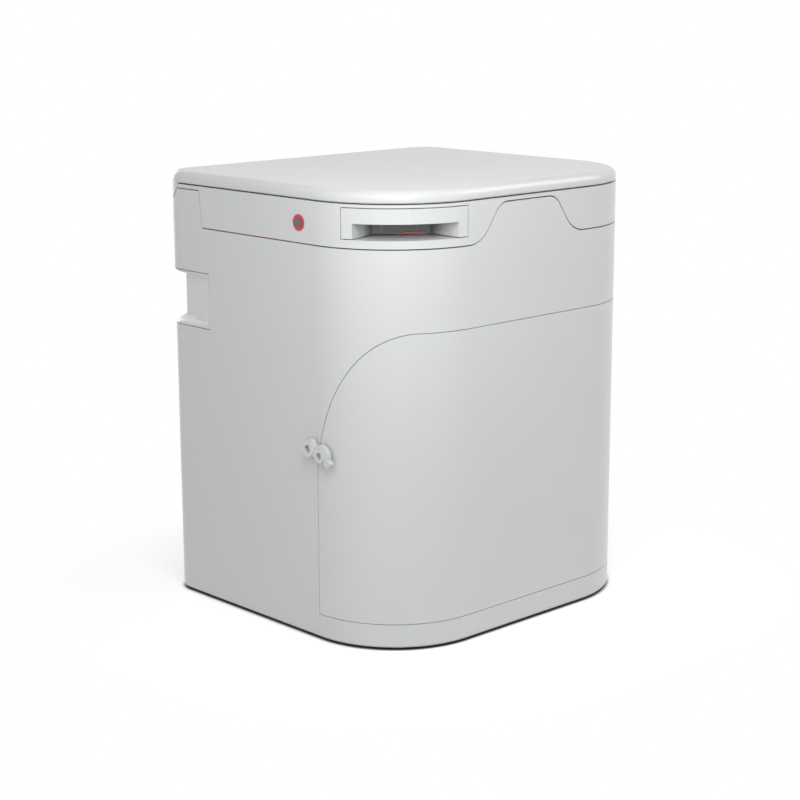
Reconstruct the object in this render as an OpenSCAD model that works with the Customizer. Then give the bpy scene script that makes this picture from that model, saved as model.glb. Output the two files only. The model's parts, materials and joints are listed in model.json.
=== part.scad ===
// Compact urine-diverting composting toilet: a base with a wrap-round front door, an upper
// housing that tilts back for the solids bin, a pull-out hatch and a hinged lid.
// Millimetres. Origin under the centre of the whole box, +Z up, the front faces -Y.

/* [Casing] */
// Width of the casing, left side to right side
body_w = 372; // [370:1:380]
// Depth of the casing, front face to back face
body_d = 338; // [337:1:344]
// Height from the floor to the top of the lid
body_h = 440; // [438:1:446]
// Plan radius of the two front corners
front_r = 100; // [98:1:103]
// Plan radius of the two back corners
back_r = 28; // [26:1:31]
// Wall of the base shell
wall = 4; // [3.6:0.1:4.4]
// Floor of the base shell
floor_t = 4; // [3:0.5:6]
// Height of the rubber feet
foot_h = 2; // [1.5:0.5:4]
// Radius of a rubber foot
foot_r = 14; // [10:1:18]

/* [Seams] */
// Drop from the lid's top to the seam between the base and the upper housing
seam_drop = 54; // [52:0.5:56]
// Width of that seam
seam_gap = 1.2; // [0.8:0.1:1.6]
// Width of the fine seams round the door, grips and handle
fine_gap = 0.6; // [0.4:0.1:0.8]
// Gap between the lid and the housing's rim
lid_gap = 1; // [0.6:0.1:1.4]
// Width of the seam in front of and over the rear console
console_gap = 0.7; // [0.5:0.1:1]
// Radius along the casing's bottom edge
base_edge_r = 3; // [2:0.5:3.5]

/* [Front hump] */
// Sideways place of the middle of the hump
hump_x = -4.5; // [-8:0.5:4]
// Half width of the hump, half way up its slopes
hump_half = 48.9; // [44:0.1:54]
// Slope of the hump's sides, in degrees
hump_slope = 55; // [50:1:60]
// Radius over the hump's shoulders
hump_top_r = 18; // [14:1:20]
// Radius at the foot of the hump's slopes
hump_foot_r = 30; // [24:1:32]

/* [Rear console] */
// Distance from the back face to the console's front seam, at the height of the base seam
console_depth = 65.4; // [63:0.2:67]
// Backward lean of that seam, in degrees
console_lean = 6.5; // [5:0.5:8]
// Wall of the console inside the base
console_wall = 3; // [2.5:0.5:4]

/* [Lid and its hinge] */
// Thickness of the lid
lid_t = 12; // [11:0.5:13]
// Radius along the lid's top edge
lid_edge_r = 8; // [6:0.5:8.5]
// Radius along the lid's lower edge
lid_under_r = 2; // [1:0.5:2.5]
// Thickness of the lid's shell
lid_shell = 3.2; // [2.6:0.2:4]
// Radius of a lid buffer
buffer_r = 7; // [5:0.5:9]
// Distance from the back face to the hinge axis
axis_inset = 6.6; // [6.6:0.1:7]
// Drop from the lid's underside to the hinge axis
axis_drop = 10.4; // [10.4:0.1:11]
// Radius of the lid's hinge knuckle
knuckle_r = 6.5; // [6.2:0.1:6.5]
// Radius of the steel hinge pins
hinge_pin_r = 2.5; // [2:0.1:3]
// Distance from the casing's side to the middle of each hinge
hinge_inset = 71; // [66:1:80]
// How far the lid's ears reach forward from the back face
ear_reach = 26; // [24:0.5:28]
// Width of a lid ear
ear_w = 24; // [20:1:28]
// Drop from the lid's underside to the bottom of its ears
ear_drop = 14.2; // [13.5:0.1:15]
// Gap round the lid's ears
ear_gap = 0.9; // [0.7:0.1:1.2]
// Running clearance of pins and shafts, in radius
run_fit = 0.05; // [0.03:0.01:0.08]
// Gap between neighbouring hinge lugs
lug_gap = 0.6; // [0.4:0.1:0.8]

/* [Door] */
// Thickness of the door's skin
door_t = 3.4; // [3:0.1:3.5]
// Lower edge of the door
door_z0 = 25.5; // [22:0.5:30]
// Drop from the base seam to the door's upper edge
door_drop = 78; // [74:1:82]
// How far the door's upright edges lie behind the start of the front corners
door_lap = 2; // [1:0.5:5]
// Sideways run of the door's swept corner
sweep_run = 103; // [98:1:108]
// Height of the door's swept corner
sweep_rise = 156; // [140:1:165]
// Width of the land behind the door's edge
jamb_land = 8; // [6:1:9]
// Thickness of that land
jamb_t = 3; // [2.5:0.5:4]
// Depth of the rib inside the door
rib_h = 6; // [4:1:7]
// Thickness of the rib
rib_t = 3; // [2:0.5:4]
// Distance from the door's lower edge to the middle of its lower hinge
low_hinge_inset = 64.5; // [50:0.5:75]
// Distance from the door's upper edge to the middle of its upper hinge
high_hinge_inset = 63; // [50:0.5:75]
// Length of a door hinge
door_hinge_l = 50; // [40:1:60]
// Radius of the door hinge's barrel
barrel_r = 3.6; // [3.2:0.1:3.8]
// Radius of the door hinge's pin
door_pin_r = 1.6; // [1.3:0.1:1.8]
// Thickness of a hinge leaf
leaf_t = 1.2; // [1:0.1:1.5]
// Width of a hinge leaf, from the axis
leaf_w = 22; // [18:1:26]

/* [Latch] */
// How far the latch stands out from the side
latch_out = 8; // [7:0.5:9]
// Distance from the door's edge back to the latch's pivot
latch_setback = 5.6; // [5:0.1:7]
// Drop from the door's upper edge to the latch's pivot
latch_drop = 116.6; // [110:0.2:125]
// Radius of the latch's pivot lobe
lobe_r = 8.2; // [7.6:0.1:8.6]
// Radius of the raised ring on the latch's arm
ring_r = 6.4; // [5.8:0.1:6.8]
// Radius of the arm round that ring
arm_r = 10.8; // [10:0.1:11.4]
// Radius of the holes in the latch
latch_hole_r = 3.9; // [3.6:0.1:4.2]
// Height of the ring over the arm
ring_h = 1.2; // [0.8:0.1:1.6]
// Distance between the pivot and the ring
lobe_pitch = 16.8; // [16:0.1:17.5]
// Drop of the ring, in degrees
lobe_drop = 15.9; // [10:0.1:20]
// Radius of the latch screw's shank
latch_screw_r = 2.4; // [2:0.1:2.6]
// Thickness of the catch pad on the door
catch_t = 1.2; // [0.8:0.1:1.2]

/* [Hand grips] */
// Height of the hand grip
grip_h = 57; // [54:1:60]
// Drop from the base seam to the grip's upper seam
grip_drop = 45; // [42:1:50]
// How far the grip reaches forward from the back face
grip_reach = 73.5; // [70:0.5:78]
// Gap above and below the grip cup
grip_gap = 0.7; // [0.4:0.1:0.9]
// How far the grip cuts in from the side, at the back face
grip_in = 28; // [24:1:29]
// Height of the rounded lips above and below
grip_lip = 5; // [4:0.5:8]
// Wall of the grip cup
grip_wall = 3; // [2.5:0.5:3.5]

/* [Pull handle and hatch] */
// Direction of pull, as an angle in plan
pull_dir = 233.5; // [230:0.5:236]
// Angle that the handle's front covers
handle_span = 73; // [68:1:74]
// Angle that the finger opening covers
finger_span = 59.4; // [54:0.2:60]
// Rise of the handle's lower seam over the base seam
handle_rise = 8.2; // [7.6:0.1:8.6]
// Drop from the housing's rim to the handle's upper seam
handle_drop = 2.8; // [2.4:0.1:3.2]
// Width of the seam round the handle
handle_gap = 0.8; // [0.6:0.1:1]
// Height of the finger opening
finger_h = 15.1; // [13:0.1:16]
// Thickness of the handle's front
handle_t = 3; // [2.6:0.1:3.4]
// Distance from the corner's centre to the back of the finger space
finger_back = 57.5; // [54:0.5:60]
// Half width of the back of the finger space
finger_half = 27.5; // [25:0.5:29]
// Thickness of the walls round the finger space
cheek_t = 2.4; // [2:0.1:2.8]
// Distance from the back face to the middle of the solids opening
opening_inset = 149; // [147:1:151]
// Radius of the solids opening
opening_r = 58; // [54:1:59]
// Overlap of the hatch beyond the opening
hatch_lap = 10; // [8:0.5:11]
// Thickness of the hatch plate
hatch_t = 3; // [2.4:0.2:3]
// Radius of the red nose seal's crown
nose_r = 70; // [60:1:80]
// Height of that crown
nose_h = 2; // [1.6:0.1:2.4]

/* [Upper housing] */
// Wall of the upper housing
housing_wall = 3.2; // [2.8:0.1:3.6]
// Thickness of the housing's rim over the hump and the console
rim_t = 3.4; // [3:0.1:3.6]
// Thickness of the housing's deck
deck_t = 4; // [3:0.5:4.5]
// Radius of the seat opening's round ends
seat_r = 86; // [84:1:88]
// Distance from the front face to the middle of the seat opening's front end
seat_front = 122; // [120:1:124]
// Height of the seat ring over the rim
seat_h = 7.5; // [6:0.5:8]
// Setback of the seat ring from the rim's edge
seat_inset = 20; // [16:1:24]
// Wall of the diverter bowl
bowl_t = 2.6; // [2.2:0.1:3]
// Sideways place of the urine drain
drain_x = 12; // [8:1:16]
// Distance from the front face to the urine drain
drain_inset = 55; // [52:1:60]
// Bore radius of the urine drain
drain_r = 9.5; // [8:0.5:10.5]
// Drop from the base seam to the bottom of the drain spout
spout_drop = 12; // [8:1:16]
// Drop from the base seam to the bottom of the solids chute
chute_drop = 14; // [8:1:14]

/* [Push button] */
// Distance from the start of the front corner back to the button
button_setback = 24.1; // [20:0.1:28]
// Rise of the button over the base seam
button_rise = 19.4; // [18:0.2:21]
// Radius of the button's red ring
button_ring_r = 7.8; // [7:0.1:8.8]
// Radius of the button's cap
button_cap_r = 4.8; // [4:0.1:5.4]
// How far the button's ring stands out
button_out = 0.8; // [0.5:0.1:1.2]

/* [Solids bin and drive] */
// Distance from the casing's side to the solids bin
bin_side_gap = 40; // [38:1:46]
// Gap between the bulkhead and the solids bin
bin_front_gap = 6; // [6:1:9]
// Distance from the back face to the solids bin
bin_back_gap = 25; // [25:1:29]
// Plan radius of the bin's corners
bin_corner_r = 80; // [60:1:90]
// Height of the shelf that carries the bin
shelf_z = 66; // [60:1:72]
// Thickness of the shelf
shelf_t = 4; // [3:0.5:5]
// Drop from the base seam to the top of the solids bin
bin_drop = 46; // [40:1:56]
// Wall of the solids bin
bin_t = 3; // [2.4:0.2:3.4]
// Radius of the agitator's shaft
shaft_r = 6; // [5:0.5:7]
// Reach of the agitator's arms
agitator_reach = 78; // [60:1:82]
// Radius of the agitator's rods
rod_r = 4; // [3:0.5:5]
// Height of the agitator's upright rods
upright_h = 110; // [80:1:140]

/* [Urine bottle] */
// Distance from the casing's side to the bottle
bottle_side_gap = 51; // [48:1:61]
// Distance from the front face to the bottle
bottle_front_gap = 19; // [18:1:21]
// Gap between the bottle and the bulkhead
bottle_back_gap = 8; // [8:1:12]
// Drop from the base seam to the top of the bottle's body
bottle_drop = 124; // [120:1:146]
// Plan radius of the bottle's corners
bottle_r = 30; // [24:1:36]
// Wall of the bottle
bottle_t = 2.5; // [2:0.1:3]
// Radius of the bottle's neck
neck_r = 22; // [20:0.5:24]
// Height of the bottle's neck
neck_h = 23; // [18:1:24]
// Distance from the start of the front corners back to the bulkhead
bulkhead_setback = 19; // [18:0.5:19]
// Thickness of the bulkhead
bulkhead_t = 3; // [2:0.5:3]

/* [Ventilation and power] */
// Sideways place of the vent socket
vent_x = -60; // [-80:1:-50]
// Drop from the base seam to the middle of the vent socket
vent_drop = 12; // [12:1:16]
// Bore radius of the vent socket
vent_r = 17.5; // [16:0.5:18]
// Wall of the vent socket
vent_t = 2.5; // [2:0.5:3]
// Length of the vent socket inside the casing
vent_l = 19; // [17:0.5:20]
// How far the vent socket stands out from the back face
vent_out = 18; // [14:1:22]
// Height of the stop inside the vent socket, which the hose's end meets
vent_stop = 1.5; // [1:0.1:2]
// Width of the fan's square frame
fan_w = 40; // [38:1:40]
// Depth of the fan
fan_d = 15; // [12:1:15]
// Number of fan blades
fan_blades = 7; // [5:1:9]
// Sideways place of the power inlet
inlet_x = 60; // [50:1:80]
// Drop from the base seam to the middle of the power inlet
inlet_drop = 14; // [10:1:26]
// Radius of the power inlet
inlet_r = 6; // [5:0.5:7]
// Width of the control box
control_w = 70; // [60:1:80]
// Height of the control box
control_h = 65; // [50:1:80]
// Depth of the control box
control_d = 14; // [10:1:16]
// Drop from the power inlet to the top of the control box
control_drop = 75; // [60:1:90]

/* [Hidden] */
$fn = 96;
FAR = 400;
shell_color = [0.80, 0.81, 0.82];
inner_color = [0.62, 0.64, 0.66];
dark_color = [0.22, 0.23, 0.24];
red_color = [0.75, 0.12, 0.20];
steel_color = [0.70, 0.71, 0.72];
rubber_color = [0.15, 0.15, 0.15];

// Plan of the casing
side_x = body_w / 2;
back_y = body_d / 2;
corner_x = side_x - front_r;
corner_y = front_r - back_y;
rear_x = side_x - back_r;
rear_y = back_y - back_r;

// Levels
floor_z = foot_h + floor_t;
seam_z = body_h - seam_drop;
lid_z0 = body_h - lid_t;
lid_mid_z = lid_z0 + lid_under_r + 1;
rim_z = lid_z0 - lid_gap;
hump_z = rim_z - rim_t - seam_gap / 2;
deck_z0 = seam_z + seam_gap / 2;
deck_z1 = deck_z0 + deck_t;
hump_mid_z = (seam_z + hump_z) / 2 + 3.2;
hump_back_y = 39 - back_y;
console_y = back_y - console_depth;
apron_setback = 6.2;
apron_t = 3;

// Door and latch
door_z1 = seam_z - door_drop;
door_y = corner_y + door_lap;
door_hinge_z = [door_z0 + low_hinge_inset, door_z1 - high_hinge_inset];
latch_y = door_y + latch_setback;
latch_z = door_z1 - latch_drop;

// Hand grips
grip_z1 = seam_z - grip_drop;
grip_z0 = grip_z1 - grip_h;
grip_y = back_y - grip_reach;

// Hinge axis of the lid and of the upper housing
axis_y = back_y - axis_inset;
axis_z = lid_z0 - axis_drop;
hinge_x = side_x - hinge_inset;
pin_bore_r = hinge_pin_r + run_fit;
lug_w = 8;
lid_lug_w = 18;
stack_w = 3 * lug_w + lid_lug_w + 3 * lug_gap;

ear_x = side_x - ear_w;
ear_z0 = lid_z0 - ear_drop;
ear_wall = 3;

// Handle and hatch in the frame of the front left corner
handle_z0 = seam_z + handle_rise;
handle_z1 = rim_z - handle_drop;
finger_z1 = handle_z0 + finger_h;
opening_y = back_y - opening_inset;
hatch_z0 = handle_z0 + 0.6;
hatch_z1 = hatch_z0 + hatch_t;
hatch_r = opening_r + hatch_lap;
sweep_lead = 0.5;
pull_u = [cos(pull_dir), sin(pull_dir)];
pull_v = [-sin(pull_dir), cos(pull_dir)];
opening_rel = [corner_x, opening_y - corner_y];
hatch_u = opening_rel * pull_u;
hatch_v = opening_rel * pull_v;
neck_half = 26;
neck_v = 3;
seal_t = 2;
rib_v = [-19, 14];
wall_u = finger_back - cheek_t;
button_y = corner_y + button_setback;
button_z = seam_z + button_rise;

// Bowl and seat
seat_y0 = seat_front - back_y;
seat_y1 = opening_y - 20;
drain_at = [drain_x, drain_inset - back_y];
spout_z = seam_z - spout_drop;
chute_z = seam_z - chute_drop;
bowl_z0 = hatch_z1 + 0.3 + seal_t;
bowl_z1 = rim_z - rim_t;
flange_t = 2.6;
spout_t = 2.5;
chute_t = 2.5;

// Bulkhead, bin, bottle and drive
bulkhead_y = corner_y + bulkhead_setback;
bin_half_w = side_x - bin_side_gap;
bin_y0 = bulkhead_y + bulkhead_t + bin_front_gap;
bin_y1 = back_y - bin_back_gap;
bin_r = min(bin_corner_r, (bin_y1 - bin_y0) / 2 - 1);
bin_z1 = seam_z - bin_drop;
bottle_half_w = side_x - bottle_side_gap;
bottle_y0 = bottle_front_gap - back_y;
bottle_y1 = bulkhead_y - bottle_back_gap;
bottle_z1 = seam_z - bottle_drop;
drive_y = (bin_y0 + bin_y1) / 2;
bin_rim = 4;
bush_t = 3;
dog_r = 10.5;
gearbox_r = 30;
gearbox_h = 22;
motor_r = 18;

// Ventilation and power
vent_z = seam_z - vent_drop;
inlet_z = seam_z - inlet_drop;

// Door hinge axis
door_axis = [side_x + latch_out - barrel_r, door_y - fine_gap / 2];

// Latch
latch_face_x = -side_x - latch_out;
latch_under_x = -side_x - catch_t - 0.3;
latch_plate_x = latch_face_x + ring_h;

function arc(cx, cy, r, a0, a1, n) =
    [for (i = [0 : n]) let (a = a0 + (a1 - a0) * i / n) [cx + r * cos(a), cy + r * sin(a)]];

module span(x0, y0, x1, y1) {
    translate([x0, y0]) square([x1 - x0, y1 - y0]);
}

module block(lo, hi) {
    translate(lo) cube(hi - lo);
}

// Extrudes a drawing in Y and Z along X
module along_x(x0, x1) {
    translate([x0, 0, 0]) rotate([90, 0, 90]) linear_extrude(x1 - x0) children();
}

// Extrudes a drawing in X and Z along Y
module along_y(y0, y1) {
    translate([0, y1, 0]) rotate([90, 0, 0]) linear_extrude(y1 - y0) children();
}

module rod_x(x0, x1, y, z, r) {
    translate([x0, y, z]) rotate([0, 90, 0]) cylinder(h = x1 - x0, r = r);
}

module rod_y(y0, y1, x, z, r) {
    translate([x, y0, z]) rotate([-90, 0, 0]) cylinder(h = y1 - y0, r = r);
}

module rod_z(z0, z1, x, y, r) {
    translate([x, y, z0]) cylinder(h = z1 - z0, r = r);
}

// The casing's plan, drawn in by inset
module outline(inset) {
    span(-corner_x, inset - back_y, corner_x, back_y - inset);
    span(inset - side_x, corner_y, side_x - inset, rear_y);
    span(-rear_x, 0, rear_x, back_y - inset);
    for (s = [-1, 1]) {
        translate([s * corner_x, corner_y]) circle(front_r - inset);
        translate([s * rear_x, rear_y]) circle(back_r - inset);
    }
}

module prism(inset, z0, z1) {
    translate([0, 0, z0]) linear_extrude(z1 - z0) outline(inset);
}

// A slab of the casing's plan with a round bottom edge
module footed(z0, z1, r) {
    translate([0, 0, z1]) mirror([0, 0, 1]) crowned(0, 0, z1 - z0, r);
}

// Half of a slab's cross section, l long, with a round top edge
module half_section(l, z0, z1, r) {
    span(0, z0, l - r, z1);
    span(0, z0, l, z1 - r);
    intersection() {
        translate([l - r, z1 - r]) circle(r);
        span(0, z1 - r, l, z1);
    }
}

// A slab of the casing's plan with a round top edge
module crowned(inset, z0, z1, r) {
    along_y(corner_y, rear_y) {
        half_section(side_x - inset, z0, z1, r);
        mirror([1, 0]) half_section(side_x - inset, z0, z1, r);
    }
    along_x(-corner_x, corner_x) translate([corner_y, 0]) mirror([1, 0])
        half_section(front_r - inset, z0, z1, r);
    along_x(-rear_x, rear_x) translate([rear_y, 0]) half_section(back_r - inset, z0, z1, r);
    for (s = [0, 1]) {
        mirror([s, 0, 0]) {
            translate([corner_x, corner_y]) rotate(-90) rotate_extrude(angle = 90)
                half_section(front_r - inset, z0, z1, r);
            translate([rear_x, rear_y]) rotate_extrude(angle = 90) half_section(back_r - inset, z0, z1, r);
        }
    }
}

module rounded_rect(x0, y0, x1, y1, r) {
    span(x0 + r, y0, x1 - r, y1);
    span(x0, y0 + r, x1, y1 - r);
    for (x = [x0 + r, x1 - r], y = [y0 + r, y1 - r]) {
        translate([x, y]) circle(r);
    }
}

// The seat opening's plan: two round ends and the straight part between
module seat_plan(r) {
    translate([0, seat_y0]) circle(r);
    translate([0, seat_y1]) circle(r);
    span(-r, seat_y0, r, seat_y1);
}

// The seam's hump, seen from the front, grown by o
module hump_2d(o) {
    z_t = hump_z - hump_top_r;
    z_b = seam_z + hump_foot_r;
    x_t = hump_half + (-hump_top_r - (z_t - hump_mid_z) * cos(hump_slope)) / sin(hump_slope);
    x_b = hump_half + (hump_foot_r - (z_b - hump_mid_z) * cos(hump_slope)) / sin(hump_slope);
    right = concat(
        arc(x_t, z_t, hump_top_r + o, 90, 90 - hump_slope, 12),
        arc(x_b, z_b, hump_foot_r - o, 270 - hump_slope, 270, 16),
        [[x_b, seam_z - 20]]);
    n = len(right);
    left = [for (i = [n - 1 : -1 : 0]) [-right[i][0], right[i][1]]];
    translate([hump_x, 0]) polygon(concat(right, left));
}

// The rear console, seen from the side, grown by o
module console_2d(o) {
    top = hump_z + o;
    low = seam_z - 9;
    y_low = console_y - o + (low - seam_z) * tan(console_lean);
    y_top = console_y - o + (top - seam_z) * tan(console_lean);
    polygon([[y_low, low], [FAR, low], [FAR, top], [y_top, top]]);
}

// Everything above the seam but the hump and the console
module above_seam(o, hump_depth_y) {
    difference() {
        block([-FAR, -FAR, seam_z + o], [FAR, FAR, body_h + 20]);
        along_y(-back_y - 5, hump_depth_y) hump_2d(o);
        along_x(-FAR, FAR) console_2d(sign(o) * console_gap / 2);
    }
}

// Space swept by the lid and the housing about the hinge axis
module hinge_relief_2d() {
    k = knuckle_r + lug_gap;
    translate([axis_y, axis_z]) polygon([
        [-k, 30], [-k, -4.2], [0, -11], [3, -13.8], [axis_inset + 5, -23], [axis_inset + 5, 30]]);
}

// The door's outline seen along the swept corner, drawn in by g
module sweep_2d(g) {
    edge_t = -front_r * cos(60) - (door_y - corner_y) * sin(60);
    mid_t = edge_t + sweep_run - sweep_lead;
    mid_z = door_z1 - sweep_rise + sweep_lead / 2;
    curve = [for (a = [180 : -3 : 90])
        [mid_t + (sweep_run - g * cos(30)) * cos(a), mid_z + (sweep_rise - g) * sin(a)]];
    polygon(concat(curve, [[mid_t, door_z1 + 30], [edge_t - 30, door_z1 + 30], [edge_t - 30, mid_z]]));
}

// The space of the door, drawn in by g
module door_zone(g) {
    difference() {
        block([-FAR, -FAR, door_z0 + g], [FAR, door_y - g, door_z1 - g]);
        translate([-corner_x, corner_y]) rotate(-60) along_y(-front_r - 30, -40) sweep_2d(g);
    }
}

module base_cavity() {
    difference() {
        prism(wall, floor_z, body_h + 20);
        along_x(-FAR, FAR) difference() {
            console_2d(-console_gap / 2);
            console_inside_2d();
        }
        ears() block([ear_x - ear_gap - ear_wall, back_y - ear_reach - ear_gap - ear_wall,
            ear_z0 - ear_gap - ear_wall], [FAR, FAR, body_h + 30]);
    }
}

// Both back corners, where the lid's ears are
module ears() {
    for (s = [0, 1]) {
        mirror([s, 0, 0]) children();
    }
}

// A lid ear seen from the side, grown by g
module ear_2d(g) {
    y0 = back_y - ear_reach - g;
    z1 = lid_mid_z + g;
    polygon([[y0, z1], [y0, rim_z - rim_t + 0.4 - g / 2], [y0 + 8.5, ear_z0 - g], [back_y + 5, ear_z0 - g],
        [back_y + 5, z1]]);
}

module console_inside_2d() {
    top = hump_z - seam_gap / 2 - console_wall;
    y0 = console_y + seam_gap / 2 + console_wall;
    y1 = axis_y - knuckle_r - lug_gap - 2 * console_wall;
    step_z = axis_z - 17 - 2 * console_wall;
    lean = (top - seam_z) * tan(console_lean);
    polygon([
        [y0, seam_z - 10], [FAR, seam_z - 10], [FAR, step_z], [y1, step_z], [y1, top], [y0 + lean, top]]);
}

// Plan of one hand grip's cut, off mm inside its face
module grip_plan(off, front) {
    slope = grip_in / (back_y - grip_y);
    x0 = off - side_x + (front - grip_y) * slope;
    x1 = off - side_x + (back_y + 5 - grip_y) * slope;
    polygon([[-side_x - 5, front], [x0, front], [x1, back_y + 5], [-side_x - 5, back_y + 5]]);
}

module door_jamb() {
    difference() {
        intersection() {
            prism(wall - 0.2, floor_z, seam_z - 10);
            door_zone(-jamb_land - 2);
        }
        prism(wall + jamb_t, 0, body_h);
        door_zone(jamb_land);
    }
}

// The fixed lugs of one lid hinge, seen from the side
module base_lug_2d() {
    translate([axis_y, axis_z]) difference() {
        union() {
            circle(knuckle_r - 0.2);
            span(-knuckle_r - lug_gap - 1, -16, 1.5, 0);
        }
        circle(pin_bore_r);
    }
}

// Start of lug i of the hinge stack, from the stack's left end
function lug_x(i) = hinge_x - stack_w / 2 + i * (lug_w + lug_gap) + (i > 2 ? lid_lug_w - lug_w : 0);

bolt_x = side_x - 20;
bolt_y = [-20, back_y - 79];
bolt_r = 3.25;

module base_shell() {
    color(shell_color) {
        difference() {
            footed(foot_h, hump_z + 5, base_edge_r);
            above_seam(-seam_gap / 2, hump_back_y);
            block([-FAR, -FAR, hump_z - seam_gap / 2], [FAR, FAR, body_h]);
            ears() along_x(ear_x - ear_gap, FAR) ear_2d(ear_gap);
            base_cavity();
            door_zone(0);
            for (s = [0, 1]) {
                mirror([s, 0, 0]) translate([0, 0, grip_z0]) linear_extrude(grip_z1 - grip_z0)
                    grip_plan(grip_wall + 0.3, grip_y);
            }
            along_x(-FAR, FAR) hinge_relief_2d();
            rod_y(back_y - wall - 5, back_y + 5, vent_x, vent_z, vent_r + vent_t + 0.1);
            rod_y(back_y - wall - 5, back_y + 5, inlet_x, inlet_z, inlet_r + 0.1);
            rod_x(-side_x - 5, -side_x + wall + 5, latch_y, latch_z, latch_screw_r + run_fit);
            for (x = [-bolt_x, bolt_x], y = bolt_y) {
                rod_z(0, floor_z + 5, x, y, bolt_r);
            }
            for (i = [-4 : 4]) {
                block([i * 14 - 4, back_y - wall - 5, 40], [i * 14 + 4, back_y + 5, 56]);
            }
        }
        door_jamb();
        for (s = [0, 1], i = [0, 3]) {
            mirror([s, 0, 0]) along_x(lug_x(i), lug_x(i) + lug_w) base_lug_2d();
        }
    }
}

module rubber_feet() {
    color(rubber_color) for (x = [-rear_x + 15, rear_x - 15], y = [corner_y - 20, rear_y - 10]) {
        rod_z(0, foot_h, x, y, foot_r);
    }
}

module bulkhead() {
    gap = wall + 0.3;
    color(inner_color) {
        intersection() {
            prism(gap, floor_z, seam_z);
            union() {
                block([-FAR, bulkhead_y, floor_z], [FAR, bulkhead_y + bulkhead_t, chute_z + 6]);
                block([-side_x + 30, bulkhead_y, floor_z], [side_x - 30, bulkhead_y + 6, floor_z + 3]);
            }
        }
    }
}

module bin_plan(grow) {
    rounded_rect(-bin_half_w - grow, bin_y0 - grow, bin_half_w + grow, bin_y1 + grow, bin_r + grow);
}

module bin_shelf() {
    x1 = bin_half_w + 8;
    color(inner_color) difference() {
        union() {
            intersection() {
                prism(wall + 0.3, shelf_z - shelf_t, shelf_z);
                block([-x1, bulkhead_y + bulkhead_t + 0.4, 0], [x1, back_y, shelf_z]);
            }
            for (s = [-1, 1]) {
                block([s * (x1 - 10) - 2, bin_y0 + 10, floor_z], [s * (x1 - 10) + 2, bin_y1 - 20, shelf_z - 1]);
            }
        }
        rod_z(0, shelf_z + 5, 0, drive_y, dog_r + 3);
    }
}

module solids_bin() {
    z0 = shelf_z;
    color(inner_color) difference() {
        union() {
            translate([0, 0, z0]) linear_extrude(bin_z1 - z0) bin_plan(0);
            translate([0, 0, bin_z1 - 4]) linear_extrude(4) bin_plan(bin_rim - 0.5);
        }
        translate([0, 0, z0 + bin_t]) linear_extrude(bin_z1) bin_plan(-bin_t);
        rod_z(z0 - 5, z0 + bin_t + 5, 0, drive_y, shaft_r + bush_t + run_fit);
    }
}

module bin_bush() {
    z0 = shelf_z;
    color("ivory") difference() {
        union() {
            rod_z(z0, z0 + bin_t, 0, drive_y, shaft_r + bush_t);
            rod_z(z0 + bin_t, z0 + bin_t + 2, 0, drive_y, shaft_r + 2 * bush_t);
        }
        rod_z(z0 - 1, z0 + bin_t + 3, 0, drive_y, shaft_r + run_fit);
    }
}

module agitator() {
    hub_z = shelf_z + bin_t + 2.3;
    arm_z = hub_z + 12;
    color(steel_color) {
        rod_z(shelf_z - shelf_t - 1.5, hub_z + 10, 0, drive_y, shaft_r);
        rod_z(shelf_z - shelf_t - 1.5, shelf_z - shelf_t + 2, 0, drive_y, dog_r);
        rod_z(hub_z, hub_z + 24, 0, drive_y, 2.6 * shaft_r);
        for (a = [0, 90]) {
            reach = a == 0 ? agitator_reach - rod_r : 0.75 * agitator_reach;
            translate([0, drive_y, arm_z + a / 10]) rotate([0, 0, a]) {
                rod_x(-reach, reach, 0, 0, rod_r);
                for (s = [-1, 1]) {
                    rod_z(-rod_r, upright_h, s * reach, 0, rod_r);
                }
            }
        }
    }
}

module motor_shaft() {
    z1 = shelf_z - shelf_t - 2;
    color("silver") {
        rod_z(shelf_z - shelf_t - 14, z1, 0, drive_y, 4);
        rod_z(z1 - 4, z1, 0, drive_y, dog_r);
    }
}

module gear_motor() {
    z1 = shelf_z - shelf_t;
    color(dark_color) difference() {
        union() {
            rod_z(z1 - gearbox_h, z1, 0, drive_y, gearbox_r);
            rod_z(floor_z, z1 - gearbox_h + 1, 0, drive_y, motor_r);
        }
        rod_z(z1 - 10, z1 + 5, 0, drive_y, dog_r + 3);
        rod_z(z1 - 15, z1 + 5, 0, drive_y, 4 + run_fit);
    }
}

module bottle_plan(g) {
    rounded_rect(-bottle_half_w + g, bottle_y0 + g, bottle_half_w - g, bottle_y1 - g, bottle_r - g);
}

module urine_bottle() {
    neck_z = bottle_z1 + neck_h;
    slot_lo = [-bottle_half_w + 25, -FAR, bottle_z1 - 47];
    slot_hi = [-bottle_half_w + 105, 0, bottle_z1 - 22];
    t = [bottle_t, 0, bottle_t];
    color([0.93, 0.93, 0.90]) difference() {
        union() {
            translate([0, 0, floor_z]) linear_extrude(bottle_z1 - floor_z) bottle_plan(0);
            rod_z(bottle_z1 - 5, neck_z, drain_at[0], drain_at[1], neck_r);
        }
        difference() {
            translate([0, 0, floor_z + bottle_t]) linear_extrude(bottle_z1 - floor_z - 2 * bottle_t)
                bottle_plan(bottle_t);
            block(slot_lo - t, slot_hi + t);
        }
        block(slot_lo, slot_hi);
        rod_z(bottle_z1 - 10, neck_z + 1, drain_at[0], drain_at[1], neck_r - bottle_t);
    }
}

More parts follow.
